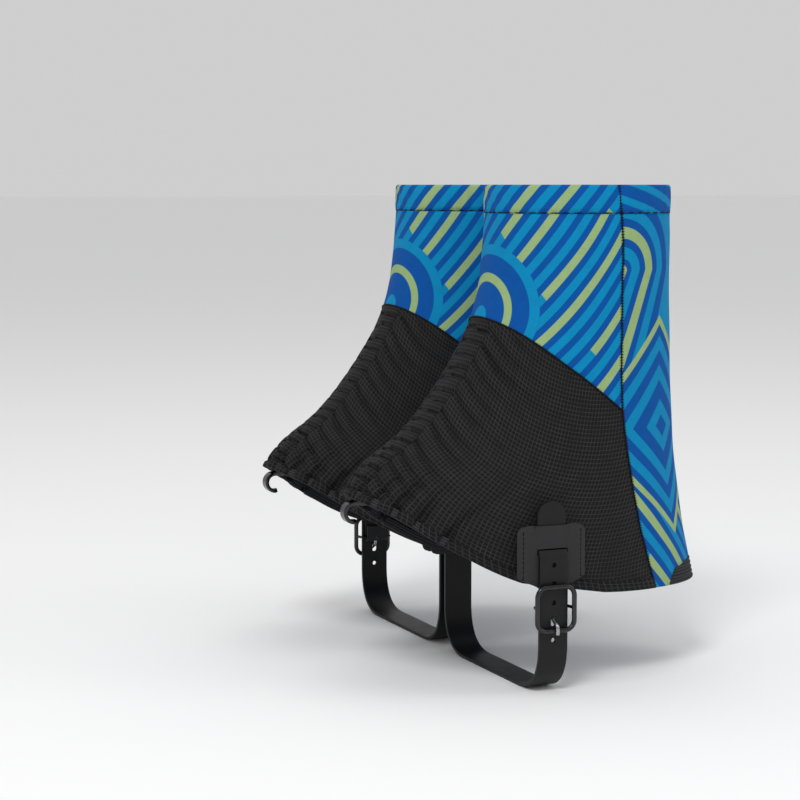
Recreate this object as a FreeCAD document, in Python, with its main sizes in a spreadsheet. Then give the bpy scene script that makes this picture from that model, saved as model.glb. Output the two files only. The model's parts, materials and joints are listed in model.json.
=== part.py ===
import FreeCAD, Part
import os
import re

# A pair of low trail gaiters. Millimetres, +Z up, toes towards -X, heels towards +X.
# The left gaiter stands at -Y and is modelled in full; the right one is its mirror image.
# Below, x is measured from the leg's axis, y from the gaiter's own middle plane (the
# outer side of the left foot is -y) and z from the ground.

os.makedirs("parts", exist_ok=True)
doc = FreeCAD.newDocument("Gaiters")
sheet = doc.addObject("Spreadsheet::Sheet", "Dimensions")

# front x, front z, back x, back z and half width of each oval section of the sleeve
stations = {
    "rim": (-45.0, 237.0, 45.0, 237.0, 45.0),
    "shin": (-46.5, 205.0, 45.3, 203.0, 44.0),
    "ankle": (-53.0, 174.0, 46.6, 168.0, 43.0),
    "bend": (-67.5, 148.0, 48.5, 136.0, 42.5),
    "instep": (-90.0, 121.0, 51.5, 107.0, 43.5),
    "vamp": (-112.0, 104.0, 55.5, 80.0, 46.0),
    "edge": (-124.0, 88.0, 60.5, 55.0, 49.0),
    "skirt": (-128.0, 66.0, 66.0, 32.0, 49.5),
}
station_sizes = ("front_x", "front_z", "back_x", "back_z", "half_width")

# side-view lines of the seams and edges, as points (x, z)
lines = {
    "hem_line": [(-136, 101), (-121, 90.5), (-80, 66), (-47, 50.8), (-10, 45.2), (36, 43), (80, 42)],
    "panel_line": [(-80, 190), (-53, 174), (-26.5, 153), (3.3, 130.4), (30, 108)],
    "side_seam": [(-3, 250), (1, 212), (1.5, 183), (3.5, 131), (10.5, 90), (16.6, 63.5), (30, 20)],
    "heel_line": [(28, 30), (33.5, 43.5), (37.5, 50), (58, 53.5), (80, 55.5)],
}

sizes = {
    "pair_spacing": 110.0,
    "middle_x": 30.0,
    "cloth": 1.4,
    "elastic": 1.0,
    "cuff_depth": 13.5,
    "cuff_elastic_depth": 9.0,
    "fold_depth": 6.0,
    "tape_width": 8.0,
    "strap_x": -39.5,
    "strap_width": 14.6,
    "strap_thickness": 1.6,
    "strap_outer": 54.7,
    "strap_inner": 52.5,
    "strap_bend": 23.0,
    "strap_slot_z": 67.0,
    "strap_behind": 51.9,
    "strap_tip_z": 91.0,
    "strap_end_z": 74.0,
    "hole_radius": 1.4,
    "hole_pitch": 8.9,
    "hole_low_z": 25.7,
    "prong_slot_low": 32.4,
    "prong_slot_high": 39.9,
    "patch_outer": 53.1,
    "patch_width": 35.0,
    "patch_low_z": 51.5,
    "patch_high_z": 79.6,
    "patch_corner": 3.5,
    "slot_gap": 0.3,
    "tab_width": 12.0,
    "anchor_width": 32.0,
    "anchor_low_z": 50.0,
    "anchor_high_z": 80.0,
    "rivet_radius": 1.5,
    "rivet_head": 3.4,
    "rivet_head_height": 0.8,
    "rivet_low_z": 58.0,
    "rivet_pitch": 10.0,
    "rivet_sink": 0.5,
    "buckle_z": 41.0,
    "buckle_width": 21.4,
    "buckle_height": 22.8,
    "buckle_bar": 2.3,
    "buckle_corner": 5.0,
    "buckle_back": 55.9,
    "buckle_thickness": 2.2,
    "pin_depth": 51.0,
    "pin_radius": 1.1,
    "pin_play": 0.05,
    "loop_wall": 0.8,
    "prong_width": 2.2,
    "prong_wall": 1.5,
    "prong_turn_z": 34.9,
    "prong_tip_z": 28.6,
    "hook_bar_x": -107.0,
    "hook_bar_z": 87.6,
    "hook_bar_radius": 1.3,
    "hook_thickness": 1.6,
    "hook_width": 9.0,
    "hook_claw_width": 5.0,
    "hook_bend_x": -118.3,
    "hook_bend_radius": 5.3,
    "hook_sweep": 205.0,
    "hook_loop_width": 5.6,
    "hook_loop_length": 20.0,
    "hook_loop_tilt": -32.0,
    "hook_window_front": 3.2,
    "hook_window_back": 5.0,
    "hook_window_gap": 0.4,
    "prong_room": 0.5,
    "prong_room_below": 4.0,
    "prong_room_above": 3.5,
    "prong_clear": 0.2,
    "prong_lead": 0.3,
    "prong_rise": 0.7,
    "prong_turn": 0.4,
    "tape_lead": 10.0,
    "tape_end_x": -20.0,
    "strap_reach": 60.0,
    "patch_root": 40.0,
    "slab_half": 62.0,
    "slab_reach": 140.0,
    "cutter_in": 45.0,
    "cutter_out": 60.0,
    "cutter_length": 12.0,
    "cutter_margin": 1.0,
}


def add_cell(row, alias, value):
    sheet.set("A%d" % row, alias)
    sheet.set("B%d" % row, str(value))
    sheet.setAlias("B%d" % row, alias)


values = dict(sizes)
for station, numbers in stations.items():
    for size, number in zip(station_sizes, numbers):
        values[station + "_" + size] = number
for line, points in lines.items():
    for place, (x, z) in zip("abcdefg", points):
        values[line + "_" + place + "x"] = x
        values[line + "_" + place + "z"] = z
for row, (alias, value) in enumerate(values.items(), start=1):
    add_cell(row, alias, value)
doc.recompute()


def from_sheet(text):
    """Puts the sheet's name before each alias of an expression."""
    return re.sub(r"[a-z][a-z_]*", lambda m: "Dimensions." + m[0] if m[0] in values else m[0], text)


def bind(item, **expressions):
    for target, text in expressions.items():
        item.setExpression(target.replace("__", "."), from_sheet(text))
    return item


def at(item, x, y, z):
    """Places an object at x, y, z of the left gaiter, given as expressions."""
    return bind(
        item,
        Placement__Base__x="middle_x + (%s)" % x,
        Placement__Base__y="(%s) - pair_spacing / 2" % y,
        Placement__Base__z=z,
    )


def box(name, x, y, z):
    """A box from pairs of expressions for its lowest and highest x, y and z."""
    item = doc.addObject("Part::Box", name)
    long, wide, tall = ["(%s) - (%s)" % (high, low) for low, high in (x, y, z)]
    bind(item, Length=long, Width=wide, Height=tall)
    return at(item, x[0], y[0], z[0])


along_x = FreeCAD.Rotation(FreeCAD.Vector(0, 1, 0), 90)
along_y = FreeCAD.Rotation(FreeCAD.Vector(1, 0, 0), -90)


def rod(name, turn, radius, length, x, y, z):
    """A cylinder along X or Y whose first end is at x, y, z."""
    item = doc.addObject("Part::Cylinder", name)
    item.Placement = FreeCAD.Placement(FreeCAD.Vector(), turn)
    bind(item, Radius=radius, Height=length)
    return at(item, x, y, z)


def join(name, *items):
    item = doc.addObject("Part::MultiFuse", name)
    item.Shapes = list(items)
    return item


def cut(name, base, *tools):
    item = base
    for count, tool in enumerate(tools, start=1):
        step = doc.addObject("Part::Cut", name if count == len(tools) else "%s_cut%d" % (name, count))
        step.Base, step.Tool = item, tool
        item = step
    return item


def common(name, *items):
    item = doc.addObject("Part::MultiCommon", name)
    item.Shapes = list(items)
    return item


def rounded(name, base, radius, axis):
    """Rounds the edges of a box that run along one axis."""
    doc.recompute()
    item = doc.addObject("Part::Fillet", name)
    item.Base = base
    size = values[radius]
    edges = []
    for number, edge in enumerate(base.Shape.Edges, start=1):
        run = edge.tangentAt(edge.FirstParameter)
        if abs(run.dot(axis)) > 0.99:
            edges.append((number, size, size))
    item.Edges = edges
    return item


x_axis, y_axis = FreeCAD.Vector(1, 0, 0), FreeCAD.Vector(0, 1, 0)


# The sleeve: lofts through the oval sections, one for each face of the cloth

def sleeve_loft(name, inset):
    ovals = []
    for station in stations:
        oval = doc.addObject("Part::Ellipse", name + "_" + station)
        oval.Placement = FreeCAD.Placement(FreeCAD.Vector(), FreeCAD.Rotation(y_axis, 1))
        ends = {size: station + "_" + size for size in station_sizes}
        run = "(%(back_x)s - %(front_x)s)" % ends
        rise = "(%(front_z)s - %(back_z)s)" % ends
        bind(
            oval,
            MajorRadius="sqrt(%s * %s + %s * %s) / 2 - %s + 0.001" % (run, run, rise, rise, inset),
            MinorRadius="%s - %s" % (ends["half_width"], inset),
            Placement__Rotation__Angle="atan2(%s; %s)" % (rise, run),
        )
        at(oval, "(%(front_x)s + %(back_x)s) / 2" % ends, "0", "(%(front_z)s + %(back_z)s) / 2" % ends)
        ovals.append(oval)
    loft = doc.addObject("Part::Loft", name)
    loft.Sections = ovals
    loft.Solid = True
    return loft


outer = sleeve_loft("outer_face", "0")
inner = sleeve_loft("inner_face", "cloth")
lined = sleeve_loft("elastic_face", "(cloth + elastic)")


def region(name, line, lift, corners):
    """A solid slab across the left gaiter, bounded by a side-view line and corners (x, z)."""
    low_y = -sheet.pair_spacing / 2 - sheet.slab_half
    points = [
        FreeCAD.Vector(sheet.middle_x + sheet.get(line + "_" + place + "x"), low_y,
                       sheet.get(line + "_" + place + "z") + lift)
        for place in "abcdefg"[:len(lines[line])]
    ]
    curve = Part.BSplineCurve()
    curve.interpolate(points)
    closing = [points[-1]] + [FreeCAD.Vector(x, low_y, z) for x, z in corners] + [points[0]]
    wire = Part.Wire([curve.toShape()] + Part.makePolygon(closing).Edges)
    item = doc.addObject("Part::Feature", name)
    item.Shape = Part.Face(wire).extrude(FreeCAD.Vector(0, 2 * sheet.slab_half, 0))
    return item


front_far, back_far, high, low = -150.0, 140.0, 280.0, 0.0
above_hem = region("above_hem", "hem_line", 0, [(back_far, high), (front_far, high)])
above_fold = region("above_fold", "hem_line", sheet.fold_depth, [(back_far, high), (front_far, high)])
below_panel_line = region("below_panel_line", "panel_line", 0, [(back_far, low), (front_far, low)])
ahead_of_seam = region("ahead_of_seam", "side_seam", 0, [(front_far, low), (front_far, high)])
below_heel_line = region("below_heel_line", "heel_line", 0, [(back_far, low)])

everywhere = ("-slab_reach", "slab_reach"), ("-slab_half", "slab_half")
rim_band = box("rim_band", *everywhere, ("rim_front_z - cuff_depth", "rim_front_z + cutter_length"))
elastic_band = box(
    "elastic_band", *everywhere,
    ("rim_front_z - cuff_depth / 2 - cuff_elastic_depth / 2",
     "rim_front_z - cuff_depth / 2 + cuff_elastic_depth / 2"),
)
tape_band = box(
    "tape_band", ("skirt_front_x - tape_lead", "tape_end_x"), ("-tape_width / 2", "tape_width / 2"),
    ("skirt_front_z", "shin_front_z"),
)

wall = cut("wall", outer, inner)
inner_wall = cut("inner_wall", inner, lined)
body_wall = cut("body_wall", common("trimmed_wall", wall, above_hem), rim_band)
heel_wall = common("heel_wall", body_wall, below_heel_line)
tube_wall = cut("tube_wall", body_wall, below_heel_line)
front_wall = common("front_wall", tube_wall, ahead_of_seam)

left = {}
left["cuff_hem"] = common("left_cuff_hem", wall, rim_band)
left["cuff_elastic"] = common("left_cuff_elastic", inner_wall, elastic_band)
left["upper_front_panel"] = cut("left_upper_front_panel", front_wall, below_panel_line)
left["lower_panel"] = common("left_lower_panel", front_wall, below_panel_line, above_fold)
left["instep_hem"] = cut("left_instep_hem", front_wall, above_fold)
left["rear_panel"] = cut("left_rear_panel", tube_wall, ahead_of_seam)
left["heel_elastic"] = cut("left_heel_elastic", heel_wall, ahead_of_seam)
hem_lining = common("hem_lining", inner_wall, above_hem, ahead_of_seam)
left["instep_elastic"] = cut("left_instep_elastic", hem_lining, above_fold)
tape = common("tape", common("tape_strip", inner_wall, tape_band), below_panel_line)
left["gather_tape"] = common("left_gather_tape", tape, above_fold)


# Outer side: the patch with its slot and tab, the buckle, the prong and the strap

strap_span = ("strap_x - strap_width / 2", "strap_x + strap_width / 2")
outer_side, inner_side = "-", ""


def side(depth_out, depth_in, sign):
    """y span between two distances from the middle plane, on the outer or the inner side."""
    if sign == outer_side:
        return "-(%s)" % depth_out, "-(%s)" % depth_in
    return depth_in, depth_out


def side_patch(name, width, low_z, high_z, depth, sign):
    """A rounded plate on one side of the sleeve, with its back shaped to the cloth."""
    across = "strap_x - %s / 2" % width, "strap_x + %s / 2" % width
    block = box(name + "_block", across, side(depth, "patch_root", sign), (low_z, high_z))
    return cut(name + "_plate", rounded(name + "_round", block, "patch_corner", y_axis), outer)


def strap_hole(name, radius, z):
    return rod(name, along_y, radius, "cutter_length", "strap_x", "-slab_half", z)


pin_y, pin_z = "-pin_depth", "buckle_z"
plate = side_patch("buckle_patch", "patch_width", "patch_low_z", "patch_high_z", "patch_outer", outer_side)
tab_span = ("strap_x - tab_width / 2", "strap_x + tab_width / 2")
tab_outer = "pin_depth + pin_radius + pin_play + loop_wall"
tab = box(
    "tab", tab_span, side(tab_outer, "pin_depth + pin_radius + pin_play", outer_side),
    ("buckle_z", "patch_low_z + cutter_margin"),
)
tab_loop = rod(
    "tab_loop", along_x, "pin_radius + pin_play + loop_wall", "tab_width", tab_span[0], pin_y, pin_z
)
tab_bore = rod(
    "tab_bore", along_x, "pin_radius + pin_play", "tab_width + 2 * cutter_margin",
    tab_span[0] + " - cutter_margin", pin_y, pin_z,
)
prong_gap = box(
    "prong_gap", ("strap_x - prong_width / 2 - prong_room", "strap_x + prong_width / 2 + prong_room"),
    side("cutter_out", "cutter_in", outer_side),
    ("buckle_z - prong_room_below", "buckle_z + prong_room_above"),
)
slot_room = box(
    "slot_room", ("strap_x - strap_width / 2 - slot_gap", "strap_x + strap_width / 2 + slot_gap"),
    side("strap_behind + slot_gap", "patch_root", outer_side),
    ("strap_slot_z - slot_gap", "patch_high_z + cutter_margin"),
)
slot_mouth = box(
    "slot_mouth", ("strap_x - strap_width / 2 - slot_gap", "strap_x + strap_width / 2 + slot_gap"),
    side("cutter_out", "patch_root", outer_side),
    ("strap_slot_z - slot_gap", "strap_slot_z + strap_thickness + slot_gap"),
)
left["buckle_patch"] = cut(
    "left_buckle_patch", join("patch_and_tab", plate, tab, tab_loop),
    tab_bore, prong_gap, slot_room, slot_mouth,
)

strap_outline = box(
    "strap_outline", strap_span, ("-strap_outer", "strap_inner"), ("0", "strap_slot_z + strap_reach")
)
strap_hollow = box(
    "strap_hollow", ("strap_x - strap_width", "strap_x + strap_width"),
    ("-(strap_outer - strap_thickness)", "strap_inner - strap_thickness"),
    ("strap_thickness", "strap_slot_z + strap_reach + cutter_margin"),
)
strap_frame = common(
    "strap_frame",
    cut("strap_u", rounded("strap_u_outline", strap_outline, "strap_bend", x_axis),
        rounded("strap_u_hollow", strap_hollow, "strap_bend", x_axis)),
    join(
        "strap_reach",
        box("strap_outer_reach", strap_span, ("-cutter_out", "0"), ("0", "strap_slot_z + strap_thickness")),
        box("strap_inner_reach", strap_span, ("0", "cutter_out"), ("0", "strap_end_z")),
    ),
)
strap_step = box(
    "strap_step", strap_span, side("strap_outer", "strap_behind - strap_thickness", outer_side),
    ("strap_slot_z", "strap_slot_z + strap_thickness"),
)
tip_box = box(
    "tip_box", strap_span, side("strap_behind", "strap_behind - strap_thickness", outer_side),
    ("strap_slot_z", "strap_tip_z - strap_width / 2"),
)
tip_round = rod(
    "tip_round", along_y, "strap_width / 2", "strap_thickness",
    "strap_x", "-strap_behind", "strap_tip_z - strap_width / 2",
)
holes = [
    strap_hole("strap_hole_%d" % count, "hole_radius", "hole_low_z + hole_pitch * %d" % count)
    for count in (0, 2, 3, 4)
]
slot_ends = [strap_hole("prong_" + end, "hole_radius", "%s %s hole_radius" % (end, sign))
             for end, sign in (("prong_slot_low", "+"), ("prong_slot_high", "-"))]
prong_slot = box(
    "prong_slot", ("strap_x - hole_radius", "strap_x + hole_radius"),
    side("slab_half", "pin_depth - cutter_margin", outer_side),
    ("prong_slot_low + hole_radius", "prong_slot_high - hole_radius"),
)
rivet_places = ("rivet_low_z", "rivet_low_z + rivet_pitch")
rivet_base = "strap_inner - strap_thickness - rivet_sink"
rivet_holes = [
    rod("rivet_hole_%d" % count, along_y, "rivet_radius", "cutter_length", "strap_x", rivet_base, z)
    for count, z in enumerate(rivet_places)
]
left["strap"] = cut(
    "left_strap", join("strap_whole", strap_frame, strap_step, tip_box, tip_round),
    *holes, *slot_ends, prong_slot, *rivet_holes
)
anchor = side_patch(
    "anchor", "anchor_width", "anchor_low_z", "anchor_high_z", "strap_inner - strap_thickness", inner_side
)
left["strap_anchor_patch"] = cut("left_strap_anchor_patch", anchor, *rivet_holes)
rivets = []
for count, z in enumerate(rivet_places):
    shank = rod(
        "rivet_shank_%d" % count, along_y, "rivet_radius", "strap_inner - (%s)" % rivet_base,
        "strap_x", rivet_base, z,
    )
    head = rod(
        "rivet_head_%d" % count, along_y, "rivet_head", "rivet_head_height", "strap_x", "strap_inner", z
    )
    rivets.append(join("rivet_%d" % count, shank, head))
left["anchor_rivets"] = doc.addObject("Part::Compound", "left_anchor_rivets")
left["anchor_rivets"].Links = rivets

half_width, half_height = "buckle_width / 2", "buckle_height / 2"
buckle_spans = side("buckle_back + buckle_thickness", "buckle_back", outer_side)


def buckle_block(name, inset, depths):
    return box(
        name, ("strap_x - %s + %s" % (half_width, inset), "strap_x + %s - %s" % (half_width, inset)),
        depths,
        ("buckle_z - %s + %s" % (half_height, inset), "buckle_z + %s - %s" % (half_height, inset)),
    )


window_span = side("slab_half", "pin_depth - cutter_margin", outer_side)
frame_ring = cut(
    "frame_ring",
    rounded("frame_round", buckle_block("frame_block", "0", buckle_spans), "buckle_corner", y_axis),
    rounded("frame_window_round", buckle_block("frame_window", "buckle_bar", window_span),
            "buckle_bar", y_axis),
)
cheeks = [
    box("cheek_" + name, (low_x, high_x),
        side("buckle_back + buckle_thickness / 2", "pin_depth - pin_radius", outer_side),
        ("buckle_z - pin_radius", "buckle_z + pin_radius"))
    for name, low_x, high_x in (
        ("front", "strap_x - %s" % half_width, "strap_x - %s + buckle_bar" % half_width),
        ("back", "strap_x + %s - buckle_bar" % half_width, "strap_x + %s" % half_width),
    )
]
pin = rod("hinge_pin", along_x, "pin_radius", "buckle_width", "strap_x - %s" % half_width, pin_y, pin_z)
left["buckle_frame"] = join("left_buckle_frame", frame_ring, pin, *cheeks)

prong_span = ("strap_x - prong_width / 2", "strap_x + prong_width / 2")


def prong_arm():
    """The prong's arm as a bent wire: down behind the strap, out through it and over the bottom bar."""
    face = sheet.buckle_back + sheet.buckle_thickness
    behind = sheet.strap_outer - sheet.strap_thickness - sheet.prong_clear
    bar_top = sheet.buckle_z - sheet.buckle_height / 2 + sheet.buckle_bar
    wall_size = sheet.prong_wall
    route = [
        (behind - wall_size, sheet.buckle_z),
        (behind - wall_size, sheet.prong_turn_z - sheet.prong_lead),
        (face, bar_top + sheet.prong_clear),
        (face, sheet.prong_tip_z),
        (face + wall_size, sheet.prong_tip_z),
        (face + wall_size, bar_top + sheet.prong_rise),
        (behind, sheet.prong_turn_z + sheet.prong_turn),
        (behind, sheet.buckle_z),
    ]
    x = sheet.middle_x + sheet.strap_x - sheet.prong_width / 2
    points = [FreeCAD.Vector(x, -sheet.pair_spacing / 2 - depth, z) for depth, z in route]
    item = doc.addObject("Part::Feature", "prong_arm")
    outline = Part.Face(Part.makePolygon(points + points[:1]))
    item.Shape = outline.extrude(FreeCAD.Vector(sheet.prong_width, 0, 0))
    return item


prong_eye = rod(
    "prong_eye", along_x, "pin_radius + pin_play + loop_wall", "prong_width", prong_span[0], pin_y, pin_z
)
prong_bore = rod(
    "prong_bore", along_x, "pin_radius + pin_play", "prong_width + 2 * cutter_margin",
    prong_span[0] + " - cutter_margin", pin_y, pin_z,
)
left["buckle_prong"] = cut("left_buckle_prong", join("prong_whole", prong_eye, prong_arm()), prong_bore)


# Front point: the flat hook that clips onto a lace, hung on a webbing loop

hook_span = ("-hook_width / 2", "hook_width / 2")
plate_low, plate_high = "hook_bar_z - hook_thickness / 2", "hook_bar_z + hook_thickness / 2"
hook_plate = box("hook_plate", ("hook_bend_x", "hook_bar_x"), hook_span, (plate_low, plate_high))
hook_window = box(
    "hook_window", ("hook_bar_x - hook_window_front", "hook_bar_x + hook_window_back"),
    ("-hook_loop_width / 2 - hook_window_gap", "hook_loop_width / 2 + hook_window_gap"),
    ("hook_bar_z - hook_window_back", "hook_bar_z + hook_window_back"),
)
hook_bar = rod(
    "hook_bar", along_y, "hook_bar_radius", "hook_width", "hook_bar_x", hook_span[0], "hook_bar_z"
)
claw_z = "hook_bar_z + hook_thickness / 2 - hook_bend_radius"
claw = [
    rod("claw_" + face, along_y, radius, "hook_claw_width + %s" % more, "hook_bend_x",
        "-(hook_claw_width + %s) / 2" % more, claw_z)
    for face, radius, more in (
        ("outside", "hook_bend_radius", "0"),
        ("inside", "hook_bend_radius - hook_thickness", "2 * cutter_margin"),
    )
]
bind(claw[0], Angle="hook_sweep")
claw_start = FreeCAD.Rotation(FreeCAD.Vector(0, 0, 1), 270 - sheet.hook_sweep)
claw[0].Placement = FreeCAD.Placement(FreeCAD.Vector(), along_y.multiply(claw_start))
left["lace_hook"] = join(
    "left_lace_hook", cut("hook_frame", hook_plate, hook_window), hook_bar, cut("hook_claw", *claw)
)
loop_bore_radius = "hook_bar_radius + pin_play"
loop_eye = rod("loop_eye", along_y, "hook_bar_radius + pin_play + loop_wall", "hook_loop_width",
               "hook_bar_x", "-hook_loop_width / 2", "hook_bar_z")
loop_bore = rod(
    "loop_bore", along_y, loop_bore_radius, "hook_width", "hook_bar_x", hook_span[0], "hook_bar_z"
)
loop_tail = doc.addObject("Part::Box", "loop_tail")
loop_tail.Placement = FreeCAD.Placement(FreeCAD.Vector(), FreeCAD.Rotation(y_axis, sheet.hook_loop_tilt))
bind(loop_tail, Length="loop_wall * 2", Width="hook_loop_width", Height="hook_loop_length")
at(loop_tail, "hook_bar_x - loop_wall", "-hook_loop_width / 2", "hook_bar_z")
sewn_tail = common("sewn_tail", loop_tail, lined)
left["hook_loop"] = cut("left_hook_loop", join("loop_whole", loop_eye, sewn_tail), loop_bore)


# The right gaiter mirrors the left one

nodes = {"left_" + name: item for name, item in left.items()}
for name, item in left.items():
    mirror = doc.addObject("Part::Mirroring", "right_" + name)
    mirror.Source = item
    mirror.Normal = y_axis
    nodes["right_" + name] = mirror
for name, item in nodes.items():
    item.Label = name
doc.recompute()

for item in doc.Objects:
    if {"Invalid", "Error"} & set(item.State):
        raise SystemExit("%s did not build: %s" % (item.Name, item.State))
for name, item in nodes.items():
    shape = item.Shape
    wanted = 2 if name.endswith("rivets") else 1
    if shape.isNull() or not shape.isValid() or len(shape.Solids) != wanted:
        raise SystemExit("%s is not %d sound solid(s): %d" % (name, wanted, len(shape.Solids)))
for name, item in nodes.items():
    item.Shape.exportStep("parts/%s.step" % name)
    limits = item.Shape.BoundBox
    print("%-26s %9.1f mm3  x %7.1f %7.1f  y %7.1f %7.1f  z %6.1f %6.1f" % (
        name, item.Shape.Volume, limits.XMin, limits.XMax, limits.YMin, limits.YMax, limits.ZMin, limits.ZMax))
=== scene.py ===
import json
import math

import bmesh
import bpy
from mathutils import Matrix, Vector, noise
from mathutils.bvhtree import BVHTree


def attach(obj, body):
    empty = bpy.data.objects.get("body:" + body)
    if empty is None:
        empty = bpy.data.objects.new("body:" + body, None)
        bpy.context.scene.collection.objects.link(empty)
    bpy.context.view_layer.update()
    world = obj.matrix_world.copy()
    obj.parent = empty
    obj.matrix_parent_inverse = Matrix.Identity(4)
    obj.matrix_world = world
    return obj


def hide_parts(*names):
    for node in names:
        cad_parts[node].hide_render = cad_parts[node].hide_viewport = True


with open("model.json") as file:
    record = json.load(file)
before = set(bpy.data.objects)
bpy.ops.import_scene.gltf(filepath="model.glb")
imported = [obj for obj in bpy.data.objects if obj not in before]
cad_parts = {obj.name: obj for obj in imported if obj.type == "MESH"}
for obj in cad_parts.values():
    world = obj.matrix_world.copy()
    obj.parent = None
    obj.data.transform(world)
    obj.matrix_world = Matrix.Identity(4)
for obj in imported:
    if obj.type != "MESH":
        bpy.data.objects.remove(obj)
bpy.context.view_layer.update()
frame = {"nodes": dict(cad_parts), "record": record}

mm = 0.001
clothScale = 100.0      # millimetres of cloth for one unit of the cloth map

# each gaiter's own middle: the leg's axis in its middle plane. The right one is the left one mirrored
mounts = {mount["name"]: mount["pos_m"] for mount in frame["record"]["mounts"]}
legX, legY, rimZ = mounts["left_leg"]
placings = {
    "left": Matrix.Translation((legX, legY, 0)) @ Matrix.Diagonal((mm, mm, mm, 1)),
    "right": Matrix.Translation((legX, -legY, 0)) @ Matrix.Diagonal((mm, -mm, mm, 1)),
}
print("frame loaded")


# Shader maths, written as expressions on wires

def put(tree, socket, value):
    if isinstance(value, Wire):
        tree.links.new(value.socket, socket)
    else:
        socket.default_value = value


class Wire:
    def __init__(self, tree, socket):
        self.tree, self.socket = tree, socket

    def maths(self, operation, *values):
        node = self.tree.nodes.new("ShaderNodeMath")
        node.operation = operation
        for place, value in enumerate(values):
            put(self.tree, node.inputs[place], value)
        return Wire(self.tree, node.outputs[0])

    def __add__(self, other):
        return self.maths("ADD", self, other)

    def __sub__(self, other):
        return self.maths("SUBTRACT", self, other)

    def __rsub__(self, other):
        return self.maths("SUBTRACT", other, self)

    def __mul__(self, other):
        return self.maths("MULTIPLY", self, other)

    def __truediv__(self, other):
        return self.maths("DIVIDE", self, other)

    def __pow__(self, other):
        return self.maths("POWER", self, other)

    def __abs__(self):
        return self.maths("ABSOLUTE", self)

    __radd__, __rmul__ = __add__, __mul__

    def fract(self):
        return self.maths("FRACT", self)

    def sine(self):
        return self.maths("SINE", self)

    def most(self, other):
        return self.maths("MAXIMUM", self, other)

    def least(self, other):
        return self.maths("MINIMUM", self, other)

    def over(self, edge, soft):
        # 0 below the edge and 1 above it, with a soft step between
        return ((self - edge) / soft + 0.5).most(0.0).least(1.0)

    def between(self, low, high, soft):
        return self.over(low, soft) * (1.0 - self.over(high, soft))


class Finish:
    # a material with one Principled shader, whose fixed values are set on its own sockets
    def __init__(self, name, **fixed):
        self.material = bpy.data.materials.new(name)
        self.material.use_nodes = True
        self.tree = self.material.node_tree
        self.shader = self.tree.nodes["Principled BSDF"]
        for socket, value in fixed.items():
            self.shader.inputs[socket.replace("_", " ")].default_value = value

    def node(self, kind, settings=None, inputs=None, output=0):
        made = self.tree.nodes.new(kind)
        for setting, value in (settings or {}).items():
            setattr(made, setting, value)
        for socket, value in (inputs or {}).items():
            put(self.tree, made.inputs[socket], value)
        return Wire(self.tree, made.outputs[output])

    def coordinates(self, source="cloth"):
        # in millimetres: along the piece's own cloth, or its place in the object
        if source == "Object":
            where, scale = self.node("ShaderNodeTexCoord", output=3), 1.0 / mm
        else:
            where, scale = self.node("ShaderNodeUVMap", {"uv_map": source}), clothScale
        where = self.node("ShaderNodeVectorMath", {"operation": "SCALE"}, {0: where, "Scale": scale})
        parts = [self.node("ShaderNodeSeparateXYZ", inputs={0: where}, output=axis) for axis in range(3)]
        return where, parts

    def noise(self, where, size, detail=2.0, roughness=0.5):
        values = {"Vector": where, "Scale": 1.0 / size, "Detail": detail, "Roughness": roughness}
        return self.node("ShaderNodeTexNoise", {}, values)

    def mix(self, factor, first, second, blend="MIX"):
        settings = {"data_type": "RGBA", "blend_type": blend}
        return self.node("ShaderNodeMix", settings, {0: factor, 6: first, 7: second}, output=2)

    def colour(self, value):
        put(self.tree, self.shader.inputs["Base Color"], value)

    def roughness(self, value):
        put(self.tree, self.shader.inputs["Roughness"], value)

    def bump(self, height, distance, strength=1.0):
        values = {"Height": height, "Strength": strength, "Distance": distance * mm}
        normal = self.node("ShaderNodeBump", {}, values)
        put(self.tree, self.shader.inputs["Normal"], normal)


# Printed knit: two blues and a sage green, in stripes, an arch and nested diamonds

inks = {
    "light": (0.0, 0.225, 0.455, 1.0),
    "dark": (0.0, 0.076, 0.325, 1.0),
    "sage": (0.29, 0.42, 0.18, 1.0),
}
stripeSizes = {
    "slope": 43.0, "pitch": 8.6, "bend": -0.0033, "light": (0.02, 0.57), "lightEdge": 0.04,
    # in five stripes, one is sage all along and one is sage in dashes
    "every": 5.0, "sage": (0.0, 0.15), "dashed": (0.4, 0.55), "sageEdge": 0.01,
    "dashPitch": 74.0, "dash": (0.06, 0.78), "dashEdge": 0.004,
}
archSizes = {"height": 173.0, "radii": (6.5, 18.0, 22.2, 31.0, 35.8)}
diamondSizes = {"across": 28.0, "height": 121.0, "steps": (5.5, 13.0, 22.5, 30.0, 37.0, 44.0, 49.5, 54.0)}
loopSizes = {"height": 197.0, "lean": 0.42, "steps": (2.5, 5.5, 11.0, 15.0, 20.5, 24.5, 30.0, 36.0)}
inkEdge = 0.35      # how softly a printed edge ends, in mm


def stripes(u, v):
    # (light blue share, sage share) of slanting stripes at u, v millimetres
    size = stripeSizes
    slope = math.radians(size["slope"])
    across = v * math.cos(slope) - u * math.sin(slope) + u * u * size["bend"]
    turn = across / size["pitch"]
    light = turn.fract().between(*size["light"], size["lightEdge"])
    five = (turn / size["every"]).fract()
    ends = (u * math.cos(slope) + v * math.sin(slope)) / size["dashPitch"]
    dashes = five.between(*size["dashed"], size["sageEdge"]) * ends.fract().between(*size["dash"], size["dashEdge"])
    sage = five.between(*size["sage"], size["sageEdge"]).most(dashes)
    return light, sage * light


def rings(distance, limits):
    # the rings from every second limit to the next
    whole = distance.between(limits[0], limits[1], inkEdge)
    for low, high in zip(limits[2::2], limits[3::2]):
        whole = whole.most(distance.between(low, high, inkEdge))
    return whole


inkShade = {"cloud": (6.0, 0.22), "grain": (0.45, 0.34), "least": 0.72}      # size in mm and how much it shades


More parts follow.
